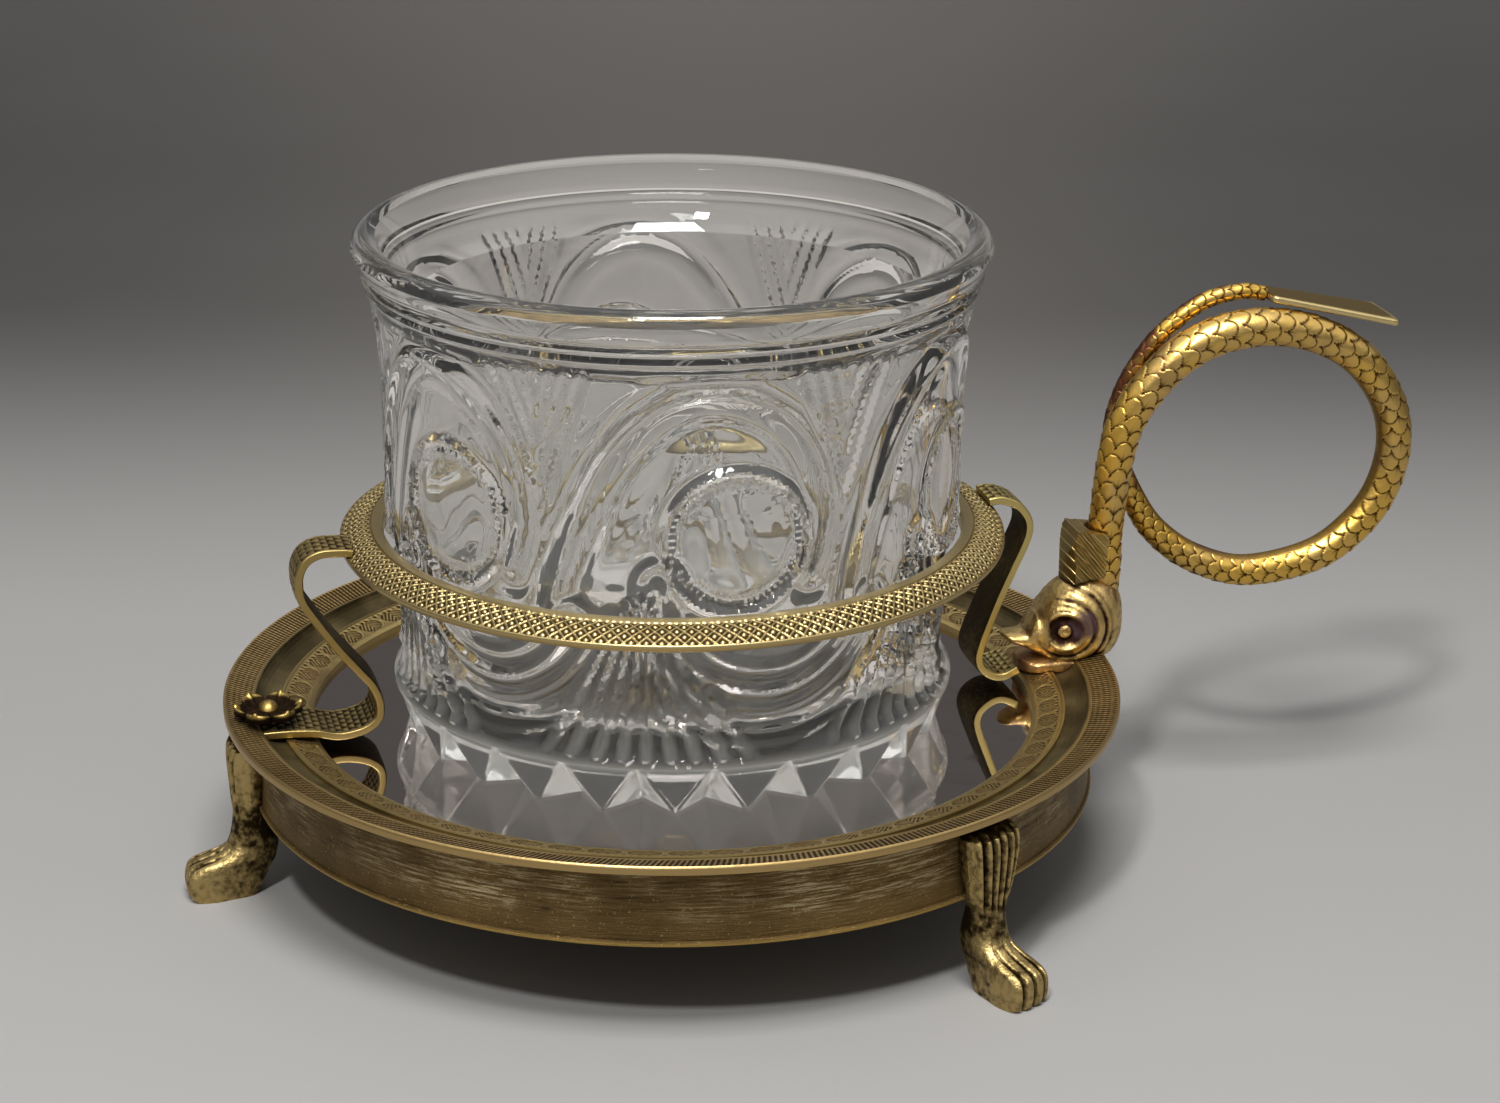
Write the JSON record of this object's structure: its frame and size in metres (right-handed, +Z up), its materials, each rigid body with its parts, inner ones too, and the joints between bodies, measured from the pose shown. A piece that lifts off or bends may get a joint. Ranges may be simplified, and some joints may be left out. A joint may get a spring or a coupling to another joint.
{
  "type": "tea glass holder",
  "caption": "Brass tea glass holder: a footed round tray with a mirrored floor and chased rim, a gallery ring on two bent straps, a dolphin-shaped loop handle and its cut glass.",
  "frame": {"origin": "centre of the tray on the table plane, level with the soles of the feet", "axes": "+Z up along the glass's axis, +X towards the dolphin handle, -X towards the strap with the rosette"},
  "size_m": [0.1715, 0.12, 0.0878],
  "materials": {
    "old_brass": "aged brass, brown in the recesses",
    "dark_brass": "dull brass under a dark patina",
    "pale_gilt": "worn satin gilding",
    "bright_gilt": "bright gilding, red brown in the recesses",
    "mirror_glass": "old mirror glass, grey brown",
    "wood": "plain board, hidden inside the tray",
    "clear_glass": "clear cut glass"
  },
  "bodies": {
    "holder": {"tray_wall": "old_brass", "pattern_rim": "old_brass", "hollow_moulding": "dark_brass", "leaf_bezel": "old_brass", "mirror_plate": "mirror_glass", "core_board": "wood", "base_sheet": "dark_brass", "base_screws": "old_brass", "paw_foot_left": "old_brass", "paw_foot_front": "old_brass", "paw_foot_back": "old_brass", "foot_screws": "old_brass", "gallery_ring": "pale_gilt", "strap_left": "old_brass", "strap_right": "pale_gilt", "rosette": "dark_brass", "rosette_screw": "pale_gilt", "dolphin_head": "bright_gilt", "dolphin_crest": "bright_gilt", "dolphin_body": "bright_gilt", "thumb_plate": "pale_gilt", "handle_screw": "old_brass"},
    "glass": {"glass_tumbler": "clear_glass"}
  },
  "joints": [
    {"name": "glass_lift", "type": "slide", "parent": "holder", "child": "glass", "axis": [0, 0, 1], "range_m": [0, 0.06]}
  ]
}
